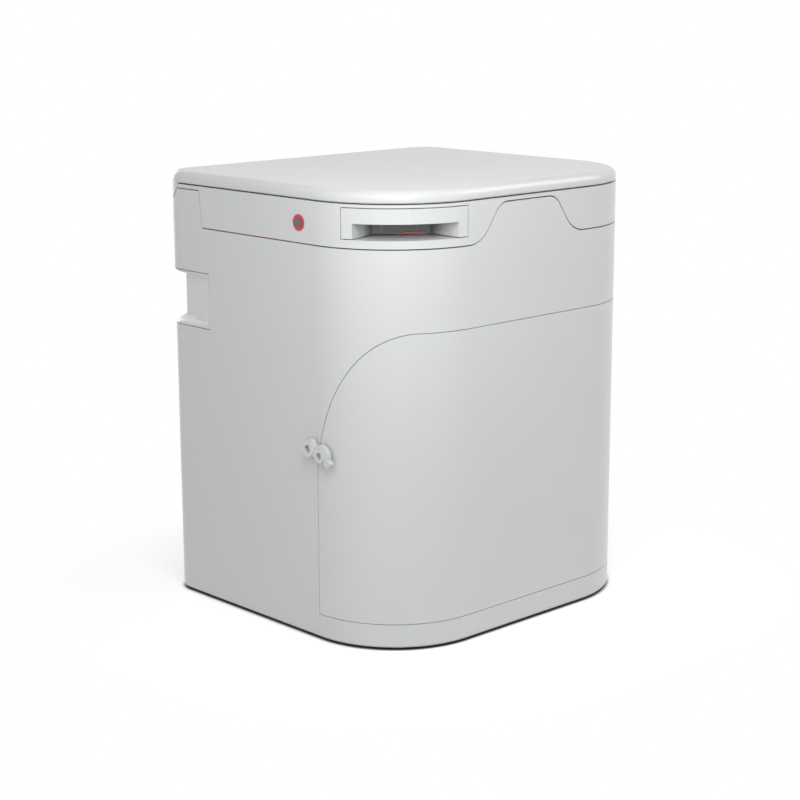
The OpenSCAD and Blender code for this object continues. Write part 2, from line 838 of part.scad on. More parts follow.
module drain_funnel() {
    low = bottle_z1 + neck_h + 3;
    top = chute_z + 8;
    throat = drain_r + 1.5;
    mid = top - 48;
    x = drain_at[0];
    y = drain_at[1];
    color(inner_color) difference() {
        union() {
            translate([x, y, mid]) cylinder(h = top - mid, r1 = throat + 2, r2 = 2.6 * drain_r + 2);
            rod_z(low, mid + 1, x, y, throat + 2);
            block([x - 8, y + throat, mid + 2], [x + 8, bulkhead_y, mid + 8]);
        }
        translate([x, y, mid]) cylinder(h = top - mid + 0.01, r1 = throat, r2 = 2.6 * drain_r);
        rod_z(low - 1, mid + 1, x, y, throat);
    }
}

module level_sensor() {
    color(dark_color) block([bottle_half_w - 75, bulkhead_y - 6, bottle_z1 - 40],
        [bottle_half_w - 43, bulkhead_y, bottle_z1 - 16]);
}

module front_door() {
    g = fine_gap;
    color(shell_color) {
        difference() {
            intersection() {
                prism(0, door_z0, door_z1);
                door_zone(g);
            }
            prism(door_t, 0, body_h);
        }
        difference() {
            intersection() {
                prism(door_t - 0.5, door_z0, door_z1);
                door_zone(jamb_land + 2);
            }
            prism(door_t + rib_h, 0, body_h);
            door_zone(jamb_land + 2 + rib_t);
        }
    }
}

ring_at = [latch_y - lobe_pitch * cos(lobe_drop), latch_z - lobe_pitch * sin(lobe_drop)];

module door_catch() {
    color(rubber_color) difference() {
        rod_x(-side_x - catch_t, -side_x + 1.5, ring_at[0], ring_at[1], 5);
        prism(-0.1, 0, body_h);
    }
}

// The plan of a leaf's knuckle and its strap; s is the leaf's side of the axis in Y
module knuckle_plan(s) {
    ax = door_axis[0];
    ay = door_axis[1];
    translate([side_x, s > 0 ? ay + 0.4 : ay - leaf_w + 4]) square([leaf_t, leaf_w - 4.4]);
    translate([side_x, s > 0 ? ay + 0.4 : ay - barrel_r]) square([ax - side_x, barrel_r - 0.4]);
    translate(door_axis) circle(barrel_r);
}

// The plan of a leaf's plate; the door's plate follows the casing's curve
module plate_plan(s) {
    y0 = door_axis[1] + s * (barrel_r + 0.6);
    y1 = door_axis[1] + s * leaf_w;
    x0 = s > 0 ? side_x : side_x + 0.4;
    x1 = s > 0 ? side_x : corner_x + sqrt(front_r * front_r - (y1 - corner_y) * (y1 - corner_y)) + 0.4;
    polygon([[x0, y0], [side_x + leaf_t, y0], [side_x + leaf_t, y1], [x1, y1]]);
}

module hinge_leaf(s, z) {
    half = door_hinge_l / 2;
    part = door_hinge_l / 6;
    spans = s > 0 ? [[-half, -part - 0.2], [part + 0.2, half]] : [[0.2 - part, part - 0.2]];
    difference() {
        union() {
            for (k = spans) {
                translate([0, 0, z + k[0]]) linear_extrude(k[1] - k[0]) knuckle_plan(s);
            }
            translate([0, 0, z - half]) linear_extrude(2 * half) plate_plan(s);
        }
        rod_z(z - half - 1, z + half + 1, door_axis[0], door_axis[1], door_pin_r + run_fit);
    }
}

module base_hinge_leaves() {
    color(steel_color) for (z = door_hinge_z) {
        hinge_leaf(1, z);
    }
}

module door_hinge_leaves() {
    color(steel_color) for (z = door_hinge_z) {
        hinge_leaf(-1, z);
    }
}

module door_hinge_pins() {
    color("silver") for (z = door_hinge_z) {
        rod_z(z - door_hinge_l / 2 - 1, z + door_hinge_l / 2 + 1, door_axis[0], door_axis[1], door_pin_r);
        for (s = [-1, 1]) {
            rod_z(z + s * (door_hinge_l / 2 + 1) - 0.7, z + s * (door_hinge_l / 2 + 1) + 0.7,
                door_axis[0], door_axis[1], barrel_r - 0.8);
        }
    }
}

module leaf_screws(s) {
    color("silver") for (z = door_hinge_z, dz = [-15, 15]) {
        rod_x(side_x + leaf_t, side_x + leaf_t + 1, door_axis[1] + s * (leaf_w - 7), z + dz, 3);
    }
}

// The latch's arm seen from the side, in Y and Z: pivot lobe, arm round the ring, finger tab and foot
module latch_2d() {
    r = arm_r;
    translate([latch_y, latch_z]) {
        circle(lobe_r);
        polygon([[-3, lobe_r - 1.5], [-2, lobe_r + 1.6], [-3.4, lobe_r + 1.9], [-5.6, lobe_r - 0.2],
            [-7.4, lobe_r - 3], [-9.6, lobe_r - 5.6], [-8, 0], [-3, 0]]);
    }
    intersection() {
        translate(ring_at) circle(r);
        translate(ring_at) polygon([
            [-2 * r, -5], [-4, -5], [0, 0], [0.55 * r, 0.9 * r], [0.3 * r, 2 * r], [-2 * r, 2 * r]]);
    }
    translate([latch_y, latch_z]) rotate(lobe_drop) span(-lobe_pitch, -3.4, 0, 6);
    translate(ring_at) polygon([[-5, -6.6], [-11.2, -10.4], [-16, -5.4], [-10.6, -2.2], [-6.4, -3]]);
}

module latch() {
    color(shell_color) difference() {
        union() {
            along_x(latch_plate_x, latch_under_x) latch_2d();
            rod_x(latch_face_x, latch_under_x, ring_at[0], ring_at[1], ring_r);
            rod_x(latch_face_x, latch_under_x, latch_y, latch_z, lobe_r - 0.4);
        }
        rod_x(latch_face_x - 1, latch_under_x + 1, latch_y, latch_z, latch_screw_r + 0.1);
        rod_x(latch_face_x - 1, latch_face_x + 4.4, latch_y, latch_z, latch_hole_r);
        rod_x(latch_face_x - 1, latch_face_x + 5, ring_at[0], ring_at[1], latch_hole_r - 0.2);
    }
}

module latch_screw() {
    color("silver") {
        rod_x(latch_face_x + 4, -side_x + wall - 0.5, latch_y, latch_z, latch_screw_r);
        rod_x(latch_face_x + 2.4, latch_face_x + 4.2, latch_y, latch_z, latch_hole_r - 0.5);
    }
}

// The hollow of a hand grip: a skin of columns from the casing's outline in to the flat grip face
module grip_hollow() {
    n = 12;
    m = 8;
    straight = rear_y - grip_y;
    curved = back_r * PI / 2;
    skin = [for (i = [0 : n]) let (s = (straight + curved) * i / n)
        s < straight
            ? [-side_x, grip_y + s]
            : [-rear_x - back_r * cos((s - straight) / back_r * 180 / PI),
                rear_y + back_r * sin((s - straight) / back_r * 180 / PI)]];
    face = [for (i = [0 : n]) [grip_in * i / n - side_x, grip_y + (back_y - grip_y) * i / n]];
    lift = [for (j = [0 : m]) let (a = 90 * j / m) [grip_lip * sin(a), 1 - cos(a)]];
    levels = concat(
        [for (j = [0 : m]) [grip_z0 + grip_gap + lift[j][0], lift[j][1]]],
        [for (j = [m : -1 : 0]) [grip_z1 - grip_gap - lift[j][0], lift[j][1]]]);
    rows = len(levels);
    cols = n + 1;
    out = [-0.08, 0.04];
    inner = [for (l = levels, i = [0 : n])
        [skin[i][0] + (face[i][0] - skin[i][0]) * l[1] + out[0],
            skin[i][1] + (face[i][1] - skin[i][1]) * l[1] + out[1], l[0]]];
    outer = [for (l = levels, i = [0 : n]) [skin[i][0] - 12, skin[i][1] + 12, l[0]]];
    size = rows * cols;
    quads = [for (j = [0 : rows - 2], i = [0 : n - 1]) [j * cols + i, j * cols + i + 1, (j + 1) * cols + i + 1,
        (j + 1) * cols + i]];
    front_faces = [for (q = quads, t = [0, 1]) t == 0 ? [q[0], q[1], q[2]] : [q[0], q[2], q[3]]];
    back_faces = [for (q = quads, t = [0, 1])
        t == 0 ? [q[2] + size, q[1] + size, q[0] + size] : [q[3] + size, q[2] + size, q[0] + size]];
    ends = [for (j = [0 : rows - 2], c = [0, n], t = [0, 1])
        let (a = j * cols + c, b = (j + 1) * cols + c)
        c == 0
            ? (t == 0 ? [a, b, b + size] : [a, b + size, a + size])
            : (t == 0 ? [a, b + size, b] : [a, a + size, b + size])];
    caps = [for (j = [0, rows - 1], i = [0 : n - 1], t = [0, 1])
        let (a = j * cols + i)
        j == 0
            ? (t == 0 ? [a, a + size, a + 1 + size] : [a, a + 1 + size, a + 1])
            : (t == 0 ? [a, a + 1 + size, a + size] : [a, a + 1, a + 1 + size])];
    all_faces = concat(front_faces, back_faces, ends, caps);
    polyhedron(points = concat(inner, outer), faces = [for (f = all_faces) [f[2], f[1], f[0]]]);
}

module grip_cup() {
    color(shell_color) difference() {
        intersection() {
            prism(0, grip_z0 + grip_gap, grip_z1 - grip_gap);
            translate([0, 0, grip_z0]) linear_extrude(grip_z1 - grip_z0) grip_plan(grip_wall, grip_y + 0.3);
        }
        grip_hollow();
    }
}

module grip_cup_left() {
    grip_cup();
}

module grip_cup_right() {
    mirror([1, 0, 0]) grip_cup();
}

module housing_seal() {
    gap = seam_gap / 2;
    color(red_color) difference() {
        prism(2.4, seam_z - gap, hump_z + gap);
        prism(wall, 0, body_h);
        above_seam(gap - 0.25, hump_back_y);
        block([-FAR, console_y - 1.5, 0], [FAR, FAR, body_h]);
        difference() {
            union() {
                block([-FAR, -FAR, 0], [FAR, FAR, seam_z - gap]);
                along_y(-FAR, hump_back_y) hump_2d(-gap);
            }
        }
    }
}

// Puts a child in the frame of the front left corner, its X along the pull
module at_corner() {
    translate([-corner_x, corner_y]) rotate(pull_dir) children();
}

// A wedge of the corner, half degrees to each side, between two heights
module corner_wedge(half, z0, z1) {
    far = 2 * front_r;
    translate([0, 0, z0]) linear_extrude(z1 - z0)
        polygon([[0, 0], [far * cos(half), -far * sin(half)], [far * cos(half), far * sin(half)]]);
}

module handle_opening() {
    at_corner() difference() {
        corner_wedge(handle_span / 2, handle_z0, handle_z1);
        rod_z(0, body_h, 0, 0, front_r - housing_wall - 6);
    }
}

module finger_space(z0, z1, grow) {
    x1 = (front_r + 2) * cos(finger_span / 2);
    y1 = (front_r + 2) * sin(finger_span / 2) + grow;
    at_corner() translate([0, 0, z0]) linear_extrude(z1 - z0)
        polygon([[finger_back - 1, -finger_half - grow], [x1, -y1], [front_r + 20, -y1],
            [front_r + 20, y1], [x1, y1], [finger_back - 1, finger_half + grow]]);
}

module housing_lug_2d() {
    k = knuckle_r - 0.2;
    translate([axis_y, axis_z]) difference() {
        union() {
            circle(k);
            span(-k, 0, 0, rim_z - axis_z);
            span(-knuckle_r - 12, rim_z - rim_t - axis_z, 0, rim_z - axis_z);
        }
        circle(pin_bore_r);
    }
}

module seat_housing() {
    apron_y = apron_setback - back_y;
    rear_in = console_y - console_gap / 2 - housing_wall;
    color(shell_color) {
        difference() {
            prism(0, deck_z0, rim_z);
            along_y(-FAR, apron_y) hump_2d(seam_gap / 2);
            along_x(-FAR, FAR) console_2d(console_gap / 2);
            block([-FAR, axis_y - knuckle_r - lug_gap - 0.2, 0], [FAR, FAR, body_h]);
            ears() along_x(ear_x - ear_gap, FAR) ear_2d(ear_gap);
            difference() {
                prism(housing_wall, deck_z1, rim_z - rim_t);
                block([-FAR, rear_in, 0], [FAR, FAR, body_h]);
                block([hump_x - 95, -FAR, 0], [hump_x + 95, apron_y + apron_t, body_h]);
                at_corner() block([wall_u - 2 * cheek_t, -56, 0], [FAR, 56, handle_z0]);
            }
            translate([0, 0, rim_z - rim_t - 1]) linear_extrude(rim_t + 5) seat_plan(seat_r - 2);
            rod_z(0, deck_z1 + 5, 0, opening_y, opening_r + 2);
            rod_z(0, deck_z1 + 5, drain_at[0], drain_at[1], drain_r + spout_t + 2);
            handle_opening();
            finger_space(handle_z0, rim_z - rim_t, 3.5);
            rod_x(-side_x - 5, -side_x + housing_wall + 5, button_y, button_z, button_ring_r - 1.4);
        }
        difference() {
            rod_z(chute_z, deck_z1, 0, opening_y, opening_r + 2 + chute_t);
            rod_z(chute_z - 1, deck_z1 + 1, 0, opening_y, opening_r + 2);
        }
        for (s = [0, 1]) {
            mirror([s, 0, 0]) along_x(lug_x(1), lug_x(1) + lug_w) housing_lug_2d();
        }
    }
}

module seat_ring() {
    color(shell_color) difference() {
        crowned(seat_inset, rim_z, rim_z + seat_h, 5);
        translate([0, 0, rim_z - 1]) linear_extrude(seat_h + 5) seat_plan(seat_r - 4);
        block([-FAR, axis_y - 24, 0], [FAR, FAR, body_h]);
    }
}

module seat_prism(r, z0, z1) {
    translate([0, 0, z0]) linear_extrude(z1 - z0) seat_plan(r);
}

// The two dishes of the bowl, lowered by drop: the urine dish in front, the solids cone behind
module bowl_dishes(drop) {
    z0 = bowl_z0 + bowl_t - drop;
    h = bowl_z1 - z0;
    translate([drain_at[0], drain_at[1], z0]) cylinder(h = h, r1 = drain_r + 1.5, r2 = drain_r + 125);
    translate([0, opening_y, z0]) cylinder(h = h, r1 = opening_r + 1, r2 = opening_r + 40);
}

module diverter_bowl() {
    color([0.85, 0.86, 0.87]) difference() {
        union() {
            intersection() {
                seat_prism(seat_r + bowl_t, bowl_z0, bowl_z1);
                bowl_dishes(bowl_t);
            }
            difference() {
                seat_prism(seat_r + 8, bowl_z1 - flange_t, bowl_z1);
                seat_prism(seat_r + bowl_t / 2, bowl_z0, bowl_z1 + 1);
            }
            rod_z(bowl_z0 - 0.1, bowl_z0 + 4, 0, opening_y, opening_r + bowl_t);
            rod_z(spout_z, bowl_z0 + 4, drain_at[0], drain_at[1], drain_r + spout_t);
        }
        intersection() {
            seat_prism(seat_r, bowl_z0 - 1, bowl_z1 + 1);
            bowl_dishes(0);
        }
        rod_z(bowl_z0 - 1, bowl_z1, 0, opening_y, opening_r);
        rod_z(spout_z - 1, bowl_z0 + 5, drain_at[0], drain_at[1], drain_r);
    }
}

module hatch_seal() {
    color(red_color) difference() {
        rod_z(bowl_z0 - 0.1 - seal_t, bowl_z0 - 0.1, 0, opening_y, opening_r + bowl_t + 1.4);
        rod_z(0, body_h, 0, opening_y, opening_r + 0.5);
    }
}

module hatch_rails() {
    far_u = hatch_u - 40;
    color(inner_color) at_corner() for (s = [-1, 1]) {
        y_in = hatch_v + s * (hatch_r - 4);
        y_out = hatch_v + s * (hatch_r + 4);
        y_edge = hatch_v + s * (hatch_r + 0.4);
        difference() {
            block([far_u, min(y_in, y_out), deck_z1], [20, max(y_in, y_out), hatch_z1 + 1.8]);
            block([far_u - 1, min(y_in, y_edge) - (s > 0 ? 5 : 0), hatch_z0 - 0.3],
                [21, max(y_in, y_edge) + (s > 0 ? 0 : 5), hatch_z1 + 0.3]);
        }
    }
}

module hatch_plate() {
    color(dark_color) at_corner() translate([0, 0, hatch_z0]) linear_extrude(hatch_t) {
        translate([hatch_u, hatch_v]) circle(hatch_r);
        span(hatch_u, neck_v - neck_half, wall_u - cheek_t, neck_v + neck_half);
    }
}

module hatch_nose_seal() {
    chord = 2 * sqrt(nose_r * nose_r - (nose_r - nose_h) * (nose_r - nose_h));
    color(red_color) at_corner() translate([wall_u, 9.5, 0]) along_x(0, cheek_t - 0.4) intersection() {
        translate([0, hatch_z0 + nose_h - nose_r]) circle(nose_r, $fn = 256);
        span(-chord, hatch_z0, chord, hatch_z0 + 10);
    }
}

module pull_handle() {
    far = 2 * front_r;
    z0 = handle_z0 + handle_gap;
    z1 = handle_z1 - handle_gap;
    half = handle_span / 2 - handle_gap / front_r * 180 / PI;
    fx = front_r * cos(finger_span / 2);
    fy = front_r * sin(finger_span / 2);
    t = cheek_t;
    color(shell_color) at_corner() {
        difference() {
            intersection() {
                rod_z(z0, z1, 0, 0, front_r);
                corner_wedge(half, z0, z1);
            }
            rod_z(0, body_h, 0, 0, front_r - handle_t);
            corner_wedge(finger_span / 2, 0, finger_z1);
        }
        intersection() {
            rod_z(z0, z1, 0, 0, front_r - 0.2);
            union() {
                for (s = [-1, 1]) {
                    translate([0, 0, z0]) linear_extrude(finger_z1 + t - z0) polygon([
                        [wall_u, s * finger_half], [fx, s * fy],
                        [fx, s * (fy + t)], [wall_u, s * (finger_half + t)]]);
                }
                translate([0, 0, finger_z1]) linear_extrude(t) polygon([
                    [wall_u, -finger_half - t], [fx, -fy - t], [front_r, 0], [fx, fy + t],
                    [wall_u, finger_half + t]]);
            }
        }
        block([wall_u - t, -finger_half - t, z0], [wall_u, finger_half + t, finger_z1 + t]);
        for (v = rib_v) {
            block([wall_u - 0.5, v - 1.2, z0 + 4], [wall_u + 1.4, v + 1.2, finger_z1 + 1]);
        }
    }
}

module push_button() {
    color(dark_color) rod_x(-side_x - button_out - 0.5, -side_x + 9, button_y, button_z, button_cap_r);
}

module button_ring() {
    color(red_color) difference() {
        union() {
            rod_x(-side_x - button_out, -side_x, button_y, button_z, button_ring_r);
            rod_x(-side_x, -side_x + 6, button_y, button_z, button_ring_r - 1.5);
        }
        rod_x(-side_x - 5, -side_x + 10, button_y, button_z, button_cap_r + 0.1);
    }
}

module button_switch() {
    color(dark_color) difference() {
        rod_x(-side_x + 6, -side_x + 20, button_y, button_z, button_ring_r - 1.5);
        rod_x(-side_x + 5, -side_x + 12, button_y, button_z, button_cap_r + 0.2);
    }
}

// The lid's knuckle, seen from the side
module lid_knuckle_2d() {
    translate([axis_y, axis_z]) difference() {
        union() {
            circle(knuckle_r);
            span(-knuckle_r, 0, axis_inset + 5, lid_mid_z - axis_z);
        }
        circle(pin_bore_r);
    }
}

module lid() {
    stack_lo = lug_x(0) - lug_gap;
    color(shell_color) difference() {
        union() {
            crowned(0, lid_mid_z, body_h, lid_edge_r);
            footed(lid_z0, lid_mid_z, lid_under_r);
            intersection() {
                prism(0, axis_z - knuckle_r - 1, lid_mid_z);
                union() {
                    along_x(-FAR, FAR) lid_knuckle_2d();
                    ears() along_x(ear_x, FAR) ear_2d(0);
                }
            }
        }
        intersection() {
            crowned(lid_shell, lid_z0 - 5, body_h - lid_shell, lid_edge_r - lid_shell);
            block([-FAR, -FAR, 0], [FAR, axis_y - knuckle_r - 4, body_h]);
        }
        for (s = [0, 1]) {
            mirror([s, 0, 0]) {
                block([stack_lo, axis_y - 20, 0], [lug_x(2) - lug_gap, back_y + 5, lid_z0]);
                block([lug_x(3) - lug_gap, axis_y - 20, 0], [lug_x(3) + lug_w + lug_gap, back_y + 5, lid_z0]);
            }
        }
    }
}

module lid_buffers() {
    x0 = side_x - 66;
    color(rubber_color) for (x = [-x0, x0], y = [corner_y, back_y - 59]) {
        rod_z(rim_z + seat_h + 0.2, body_h - lid_shell, x, y, buffer_r);
    }
}

module lid_hinge_pins() {
    color("silver") for (s = [0, 1]) {
        mirror([s, 0, 0]) rod_x(lug_x(0) - 1.5, lug_x(3) + lug_w + 1.5, axis_y, axis_z, hinge_pin_r);
    }
}

vent_y0 = back_y - vent_l;

module vent_socket() {
    half = fan_w / 2 + 2;
    color(inner_color) difference() {
        union() {
            rod_y(vent_y0, back_y + vent_out, vent_x, vent_z, vent_r + vent_t);
            block([vent_x - half, vent_y0, vent_z - half + 2], [vent_x + half, vent_y0 + 3, vent_z + half - 2]);
        }
        rod_y(vent_y0 - 1, back_y + 1, vent_x, vent_z, vent_r - vent_stop);
        rod_y(back_y, back_y + vent_out + 1, vent_x, vent_z, vent_r);
    }
}

fan_y0 = vent_y0 - fan_d;

module fan_frame() {
    h = fan_w / 2;
    color(dark_color) difference() {
        union() {
            difference() {
                block([vent_x - h, fan_y0, vent_z - h], [vent_x + h, vent_y0, vent_z + h]);
                rod_y(fan_y0 - 1, vent_y0 + 1, vent_x, vent_z, h - 1.5);
            }
            rod_y(vent_y0 - 3, vent_y0, vent_x, vent_z, 8);
            for (a = [0, 120, 240]) {
                translate([vent_x, 0, vent_z]) rotate([0, a, 0])
                    block([-1, vent_y0 - 2, 0], [1, vent_y0, h - 1]);
            }
        }
        rod_y(vent_y0 - 4, vent_y0 - 1, vent_x, vent_z, 1.5 + run_fit);
    }
}

module fan_impeller() {
    reach = fan_w / 2 - 2.2;
    color([0.30, 0.31, 0.32]) {
        rod_y(fan_y0 + 1, vent_y0 - 3.6, vent_x, vent_z, 8);
        rod_y(vent_y0 - 4, vent_y0 - 1.4, vent_x, vent_z, 1.5);
        for (i = [0 : fan_blades - 1]) {
            translate([vent_x, fan_y0 + 6, vent_z]) rotate([0, 360 * i / fan_blades, 0]) rotate([0, 0, 40])
                block([-4.5, -0.6, 6], [4.5, 0.6, reach - 0.8]);
        }
    }
}

module power_inlet() {
    color(dark_color) difference() {
        union() {
            rod_y(back_y - wall - 10, back_y, inlet_x, inlet_z, inlet_r);
            rod_y(back_y - wall - 4, back_y - wall, inlet_x, inlet_z, inlet_r + 3);
        }
        difference() {
            rod_y(back_y - 9, back_y + 1, inlet_x, inlet_z, inlet_r / 2);
            rod_y(back_y - 10, back_y - 2, inlet_x, inlet_z, 1);
        }
    }
}

module control_box() {
    y1 = back_y - wall;
    z1 = inlet_z - control_drop;
    color(dark_color) block([inlet_x + 5 - control_w / 2, y1 - control_d, z1 - control_h],
        [inlet_x + 5 + control_w / 2, y1, z1]);
}

// The origin is under the middle of the whole toilet, whose vent socket stands out behind
translate([0, -vent_out / 2, 0]) {
    base_shell();
    rubber_feet();
    bulkhead();
    bin_shelf();
    solids_bin();
    bin_bush();
    agitator();
    motor_shaft();
    gear_motor();
    urine_bottle();
    drain_funnel();
    level_sensor();
    front_door();
    door_catch();
    base_hinge_leaves();
    door_hinge_leaves();
    door_hinge_pins();
    leaf_screws(1);  // base_leaf_screws
    leaf_screws(-1);  // door_leaf_screws
    latch();
    latch_screw();
    grip_cup_left();
    grip_cup_right();
    housing_seal();
    seat_housing();
    seat_ring();
    diverter_bowl();
    hatch_seal();
    hatch_rails();
    hatch_plate();
    hatch_nose_seal();
    pull_handle();
    push_button();
    button_ring();
    button_switch();
    lid();
    lid_buffers();
    lid_hinge_pins();
    fan_frame();
    fan_impeller();
    vent_socket();
    power_inlet();
    control_box();
}
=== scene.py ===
import json
import math

import bpy
from mathutils import Matrix, Vector

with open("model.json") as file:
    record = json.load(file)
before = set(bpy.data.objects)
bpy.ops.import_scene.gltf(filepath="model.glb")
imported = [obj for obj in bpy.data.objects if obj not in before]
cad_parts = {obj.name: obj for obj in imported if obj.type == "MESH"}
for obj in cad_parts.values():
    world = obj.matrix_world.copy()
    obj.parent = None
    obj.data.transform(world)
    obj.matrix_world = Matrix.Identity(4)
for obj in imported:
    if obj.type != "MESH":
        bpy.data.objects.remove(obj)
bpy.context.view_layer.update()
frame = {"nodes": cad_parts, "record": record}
nodes = frame["nodes"]

# Lengths are in metres, angles in degrees and colours in linear light. The casing faces -Y.

BLACK = (0.0, 0.0, 0.0)
WHITE = (1.0, 1.0, 1.0)
CASING_GREY = (0.655, 0.667, 0.674)
BOWL_WHITE = (0.70, 0.71, 0.72)
INNER_GREY = (0.33, 0.34, 0.36)
BOTTLE_DULL = (0.66, 0.66, 0.60)
BOTTLE_PALE = (0.74, 0.74, 0.69)
BUSH_CREAM = (0.62, 0.58, 0.47)
DARK_GREY = (0.045, 0.047, 0.05)
BUTTON_GREY = (0.125, 0.125, 0.120)
STEEL_GREY = (0.40, 0.405, 0.41)
RUBBER_BLACK = (0.028, 0.028, 0.03)
RING_RED = (0.56, 0.018, 0.055)
SEAL_RED = (0.50, 0.016, 0.045)
NOSE_RED = (0.81, 0.22, 0.235)
# painted shade at the back of the pull's recess
RECESS_SHADE = (0.16, 0.165, 0.165)
# painted shade on the red seal round the pull's corner
SEAL_SHADE = (0.012, 0.012, 0.013)
# painted shadow on the floor under the casing's foot
FLOOR_SHADOW = (0.13, 0.13, 0.13)
FLOOR_PALE = (0.82, 0.82, 0.82)

# Where painted shade on a piece fades into its own colour
PULL_WAY = (-0.594823, -0.803857, 0.0)  # level, the way the pull faces
RECESS_SHADE_FADE = (0.168, 0.183)  # painted shade to the plastic's own colour along PULL_WAY
SEAL_SIDE_FADE = (-0.078, -0.060)  # painted shade to red along Y
HUMP_SLOPE_X = 0.064
HUMP_SLOPE_FADE = (0.010, 0.018)  # red to painted shade on either side of HUMP_SLOPE_X

# The casing's foot and the floor round it
CASING_CENTRE_Y = -0.009
CASING_HALF_X = 0.186
CASING_HALF_Y = 0.169
FRONT_CORNER = 0.100
BACK_CORNER = 0.028
HALVES_FADE = (-0.001, 0.001)  # from the front corners' half to the back corners' half
# the painted shadow under the foot: the floor's colour darkens there, and its glow starts only just
# outside it
FOOT_SHADOW_FADE = (-0.002, 0.002)
GLOW_FADE = (-0.002, 0.004)
WHITE_FADE = (0.01, 0.20)
FLOOR_GLOW = 0.42
FLOOR_HALF = 60.0

SKY_LEVEL = 0.39
LAMP_AIM = Vector((0.0, 0.0, 0.22))
LAMPS = {  # turn, height, reach, size and watts
    "left_light": (80, 35, 3.2, 1.6, 12.7),
    "low_light": (42, 12, 3.2, 1.6, 7.0),
    "near_light": (42, 35, 0.7, 0.3, 1.55),
    "right_light": (-50, 35, 1.6, 0.8, 7.1),
    "rear_light": (190, 12, 3.2, 1.6, 18.0),
}

CAMERA_PLACE = (-1.3182, -1.3893, 0.6337)
CAMERA_LENS = 84.51
CAMERA_TURN = -43.370
CAMERA_DIP = 12.851
CAMERA_ROLL = -0.192


# Shader sums


class Wire:
    """The output of a shader node. A Python sum with it adds the Math nodes of that sum."""

    def __init__(self, shading, socket):
        self.shading = shading
        self.socket = socket

    def math(self, operation, *values):
        return self.shading.node("ShaderNodeMath", {"operation": operation}, *values)

    def __add__(self, other):
        return self.math("ADD", self, other)

    __radd__ = __add__

    def __sub__(self, other):
        return self.math("SUBTRACT", self, other)

    def __rsub__(self, other):
        return self.math("SUBTRACT", other, self)

    def __mul__(self, other):
        return self.math("MULTIPLY", self, other)

    __rmul__ = __mul__

    def __truediv__(self, other):
        return self.math("DIVIDE", self, other)

    def __pow__(self, other):
        return self.math("POWER", self, other)

    def size(self):
        return self.math("ABSOLUTE", self)

    def at_least(self, other):
        return self.math("MAXIMUM", self, other)

    def clamped(self):
        return self.shading.node("ShaderNodeClamp", {}, self, 0.0, 1.0)

    def rising(self, start, end):
        """0 up to start, 1 from end on."""
        return ((self - start) / (end - start)).clamped()

    def about(self, middle, spread):
        """A value between 0 and 1, moved to lie evenly about a middle."""
        return (self * spread + (middle - spread / 2)).clamped()


class Shading:
    """The node tree of a material or of the world."""

    def __init__(self, owner):
        owner.use_nodes = True
        self.tree = owner.node_tree
        self.tree.nodes.clear()

    def plug(self, socket, value):
        if isinstance(value, Wire):
            self.tree.links.new(value.socket, socket)
        elif socket.type == "RGBA":
            socket.default_value = (*value, 1.0)
        else:
            socket.default_value = value

    def node(self, kind, settings, *values, out=0, **named):
        """Makes a node: first its settings, then its sockets' values or wires, by place or name."""
        made = self.tree.nodes.new(kind)
        for name, value in settings.items():
            setattr(made, name, value)
        for socket, value in zip(made.inputs, values):
            if value is not None:
                self.plug(socket, value)
        for name, value in named.items():
            self.plug(made.inputs[name.replace("_", " ")], value)
        return Wire(self, made.outputs[out])

    def seen_directly(self):
        """1 for the camera, a reflection or a see-through piece, and 0 for the light given off."""
        kinds = ("Camera", "Glossy", "Transmission")
        path = self.tree.nodes.new("ShaderNodeLightPath")
        camera, glossy, through = (Wire(self, path.outputs[f"Is {kind} Ray"]) for kind in kinds)
        return (camera + glossy + through).clamped()


class Finish(Shading):
    """A material made of one Principled shader and the nodes that feed it."""

    def __init__(self, name, **constants):
        self.material = bpy.data.materials.new(name)
        super().__init__(self.material)
        self.shader = self.tree.nodes.new("ShaderNodeBsdfPrincipled")
        self.surface = self.tree.nodes.new("ShaderNodeOutputMaterial").inputs["Surface"]
        self.tree.links.new(self.shader.outputs[0], self.surface)
        self.set(**constants)

    def set(self, **values):
        for name, value in values.items():
            self.plug(self.shader.inputs[name.replace("_", " ")], value)

    def place(self):
        return self.node("ShaderNodeTexCoord", {}, out="Object")

    def axis(self, letter):
        return self.node("ShaderNodeSeparateXYZ", {}, self.place(), out=letter)

    def along(self, direction):
        """How far a point of the piece lies along a direction from the origin."""
        dot = {"operation": "DOT_PRODUCT"}
        return self.node("ShaderNodeVectorMath", dot, self.place(), direction, out="Value")

    def noise(self, scale, detail, roughness=0.5, where=None):
        pattern = {"Scale": scale, "Detail": detail, "Roughness": roughness}
        return self.node("ShaderNodeTexNoise", {}, Vector=where or self.place(), **pattern)

    def tint(self, amount, dark, light):
        """The colour that lies an amount of 0 to 1 of the way from dark to light."""
        values = (amount, *[None] * 5, dark, light)  # five sockets are for numbers and vectors
        return self.node("ShaderNodeMix", {"data_type": "RGBA"}, *values, out=2)

    def bump(self, height, strength, distance):
        named = {"Height": height, "Strength": strength, "Distance": distance}
        return self.node("ShaderNodeBump", {}, **named)


# Finishes


def shade(color, amount):
    return tuple(c * amount for c in color)


def moulded_plastic(name, color, roughness, grain=0.10, coat=0.0, mottle=0.03, paint_shade=None):
    """Moulded plastic: very fine spark-eroded grain, slight flow marks, faint handling marks."""
    finish = Finish(name, IOR=1.47, Coat_Weight=coat, Coat_Roughness=0.18)
    flow = finish.noise(scale=7.0, detail=3.0)
    marks = finish.noise(scale=60.0, detail=4.0, roughness=0.65)
    eroded = finish.noise(scale=2600.0, detail=2.0)
    tone = finish.tint(flow, shade(color, 1 - mottle), shade(color, 1 + mottle / 2))
    # Where a painted-shade function is given, it darkens parts of the tone with painted shade.
    finish.set(
        Base_Color=paint_shade(finish, tone) if paint_shade else tone,
        Roughness=marks.about(roughness, spread=0.10),
        Normal=finish.bump(eroded, strength=grain, distance=0.00006),
    )
    return finish.material


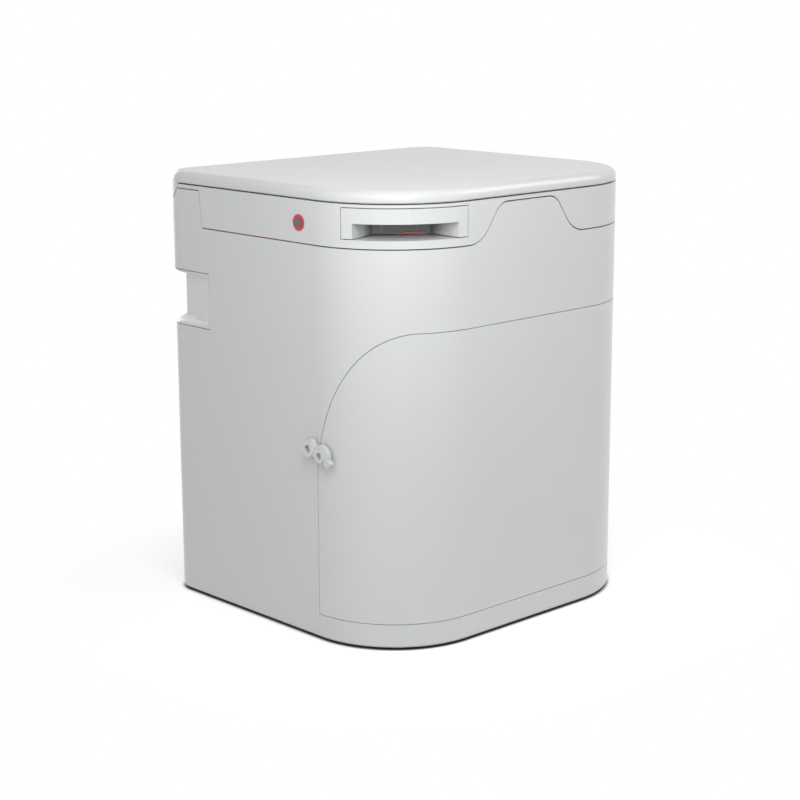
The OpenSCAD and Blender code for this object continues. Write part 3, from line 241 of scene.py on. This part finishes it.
def soft_rubber(name, color, roughness, paint_shade=None):
    """Silicone or rubber: matt, with a dusty bloom in patches."""
    finish = Finish(name, IOR=1.5)
    bloom = finish.noise(scale=90.0, detail=4.0)
    skin = finish.noise(scale=900.0, detail=3.0)
    tone = finish.tint(bloom, shade(color, 0.86), shade(color, 1.12))
    # Where a painted-shade function is given, it darkens parts of the tone with painted shade.
    finish.set(
        Base_Color=paint_shade(finish, tone) if paint_shade else tone,
        Roughness=bloom.about(roughness, spread=0.14),
        Normal=finish.bump(skin, strength=0.12, distance=0.0001),
    )
    return finish.material


def brushed_metal(name, color, roughness, stretch):
    """Brushed stainless steel: fine lines along one axis."""
    finish = Finish(name, Metallic=1.0)
    lines = finish.node("ShaderNodeMapping", {}, Vector=finish.place(), Scale=stretch)
    brushing = finish.noise(scale=1.0, detail=3.0, where=lines)
    finish.set(
        Base_Color=finish.tint(brushing, shade(color, 0.88), shade(color, 1.06)),
        Roughness=brushing.about(roughness, spread=0.16),
        Normal=finish.bump(brushing, strength=0.08, distance=0.00008),
    )
    return finish.material


def bottle_plastic(name, roughness):
    """Blow-moulded bottle: waxy, slightly uneven and a little see-through at its thin places."""
    finish = Finish(name, IOR=1.5, Subsurface_Weight=0.25, Subsurface_Scale=0.004)
    swirl = finish.noise(scale=22.0, detail=3.0)
    dimples = finish.noise(scale=240.0, detail=3.0)
    finish.set(
        Base_Color=finish.tint(swirl, BOTTLE_DULL, BOTTLE_PALE),
        Roughness=swirl.about(roughness, spread=0.16),
        Normal=finish.bump(dimples, strength=0.12, distance=0.0003),
    )
    return finish.material


def recess_painted_shade(finish, tone):
    """Painted shade: the pull's inside greys towards its back wall."""
    return finish.tint(finish.along(PULL_WAY).rising(*RECESS_SHADE_FADE), RECESS_SHADE, tone)


def seal_painted_shade(finish, tone):
    """Painted shade darkens the seal round the pull's corner; it keeps its own red along the side
    and below the hump's slope.
    """
    side = finish.axis("Y").rising(*SEAL_SIDE_FADE)
    off_slope = (finish.axis("X") - HUMP_SLOPE_X).size()
    slope = 1.0 - off_slope.rising(*HUMP_SLOPE_FADE)
    return finish.tint(side.at_least(slope), SEAL_SHADE, tone)


casing_look = {"color": CASING_GREY, "roughness": 0.30, "grain": 0.05, "coat": 0.15}
seal_look = {"color": SEAL_RED, "roughness": 0.46}

slot_finishes = {
    "casing": moulded_plastic("casing_plastic", **casing_look),
    "bowl_white": moulded_plastic("bowl_plastic", BOWL_WHITE, 0.18, grain=0.02, coat=0.4),
    "inner_grey": moulded_plastic("inner_plastic", INNER_GREY, 0.48, grain=0.25, mottle=0.06),
    "bottle_white": bottle_plastic("bottle_plastic", 0.42),
    "bush_cream": moulded_plastic("bush_plastic", BUSH_CREAM, 0.45, grain=0.2),
    "dark_plastic": moulded_plastic("dark_plastic", DARK_GREY, 0.42, grain=0.3, mottle=0.10),
    "red_plastic": moulded_plastic("red_plastic", RING_RED, 0.28, grain=0.04, coat=0.3),
    "red_rubber": soft_rubber("red_silicone", **seal_look),
    "rubber_black": soft_rubber("black_rubber", RUBBER_BLACK, 0.62),
    "steel": brushed_metal("brushed_steel", STEEL_GREY, 0.34, stretch=(900.0, 900.0, 30.0)),
}
own_finishes = {
    "pull_handle": moulded_plastic("pull_plastic", **casing_look, paint_shade=recess_painted_shade),
    "push_button": moulded_plastic("button_plastic", BUTTON_GREY, 0.34, grain=0.2),
    "housing_seal": soft_rubber("seam_silicone", **seal_look, paint_shade=seal_painted_shade),
    "hatch_nose_seal": soft_rubber("nose_silicone", NOSE_RED, 0.50),
}


def dress_nodes():
    """Gives every CAD node its own finish, or the finish of its slot."""
    slots = {part["node"]: part["material_slot"] for part in frame["record"]["subparts"]}
    for name, node in nodes.items():
        node.data.materials.clear()
        node.data.materials.append(own_finishes.get(name, slot_finishes[slots[name]]))


# Floor, light and camera


def add_to_scene(name, data):
    """Makes the object of a mesh, a lamp or a camera."""
    made = bpy.data.objects.new(name, data)
    bpy.context.scene.collection.objects.link(made)
    return made


def from_casing(finish, corner):
    """How far a point of the floor is from a casing with four corners of one radius."""
    behind_centre = finish.axis("Y") - CASING_CENTRE_Y
    across = (finish.axis("X").size() - (CASING_HALF_X - corner)).at_least(0.0)
    deep = (behind_centre.size() - (CASING_HALF_Y - corner)).at_least(0.0)
    return (across * across + deep * deep) ** 0.5 - corner


def floor_finish():
    """A painted shadow under the casing and pale round it, and farther out white to whoever looks
    at it.
    """
    finish = Finish("studio_white", Roughness=0.9, Specular_IOR_Level=0.0)
    seen = finish.seen_directly()
    behind = (finish.axis("Y") - CASING_CENTRE_Y).rising(*HALVES_FADE)
    front = from_casing(finish, FRONT_CORNER) * (1.0 - behind)
    away = front + from_casing(finish, BACK_CORNER) * behind
    # Painted shadow: the floor's colour and its glow both drop under the casing's foot.
    finish.set(
        Base_Color=finish.tint(away.rising(*FOOT_SHADOW_FADE), FLOOR_SHADOW, FLOOR_PALE),
        Emission_Color=finish.tint(seen * away.rising(*GLOW_FADE), BLACK, WHITE),
        Emission_Strength=FLOOR_GLOW,
    )
    near = Wire(finish, finish.shader.outputs[0])
    far = finish.node("ShaderNodeEmission", {}, Color=WHITE, Strength=1.0)
    whiteness = seen * away.rising(*WHITE_FADE)
    finish.plug(finish.surface, finish.node("ShaderNodeMixShader", {}, whiteness, near, far))
    return finish.material


def lay_floor():
    """A pale floor that keeps the toilet's shadow near it and runs out into white."""
    mesh = bpy.data.meshes.new("studio_floor")
    corners = ((-1, -1), (1, -1), (1, 1), (-1, 1))
    places = [(x * FLOOR_HALF, y * FLOOR_HALF, 0) for x, y in corners]
    mesh.from_pydata(places, [], [(0, 1, 2, 3)])
    mesh.materials.append(floor_finish())
    floor = add_to_scene("studio_floor", mesh)


def studio_sky():
    """Even light from all round, on a white backdrop."""
    world = bpy.data.worlds.new("studio_sky")
    bpy.context.scene.world = world
    sky = Shading(world)
    light = sky.node("ShaderNodeBackground", {}, Color=WHITE, Strength=SKY_LEVEL)
    backdrop = sky.node("ShaderNodeBackground", {}, Color=WHITE, Strength=1.0)
    output = sky.tree.nodes.new("ShaderNodeOutputWorld")
    mix = sky.node("ShaderNodeMixShader", {}, sky.seen_directly(), light, backdrop)
    sky.plug(output.inputs["Surface"], mix)


def soft_lamp(name, turn, height, reach, size, watts):
    """A square softbox, turned from the front towards the left side, at a height and a reach."""
    lamp = bpy.data.lights.new(name, "AREA")
    lamp.shape = "RECTANGLE"
    lamp.size = lamp.size_y = size
    lamp.energy = watts
    turn, height = math.radians(turn), math.radians(height)
    level = math.cos(height)
    way = Vector((-math.sin(turn) * level, -math.cos(turn) * level, math.sin(height)))
    holder = add_to_scene(name, lamp)
    holder.location = LAMP_AIM + way * reach
    holder.rotation_euler = (-way).to_track_quat("-Z", "Y").to_euler()


def stand_camera():
    """The photograph's camera: off the near left corner and a little above the lid."""
    camera = bpy.data.cameras.new("photo_camera")
    camera.lens = CAMERA_LENS
    camera.sensor_width = 36.0
    camera.clip_start = 0.01
    camera.clip_end = 200.0
    turn = Matrix.Rotation(math.radians(CAMERA_TURN), 4, "Z")
    tilt = Matrix.Rotation(math.radians(90 - CAMERA_DIP), 4, "X")
    roll = Matrix.Rotation(math.radians(CAMERA_ROLL), 4, "Z")
    holder = add_to_scene("photo_camera", camera)
    holder.matrix_world = Matrix.Translation(CAMERA_PLACE) @ turn @ tilt @ roll
    bpy.context.scene.camera = holder


dress_nodes()
lay_floor()
studio_sky()
for lamp_name, lamp_set in LAMPS.items():
    soft_lamp(lamp_name, *lamp_set)
stand_camera()

bpy.context.scene.view_settings.view_transform = "Standard"
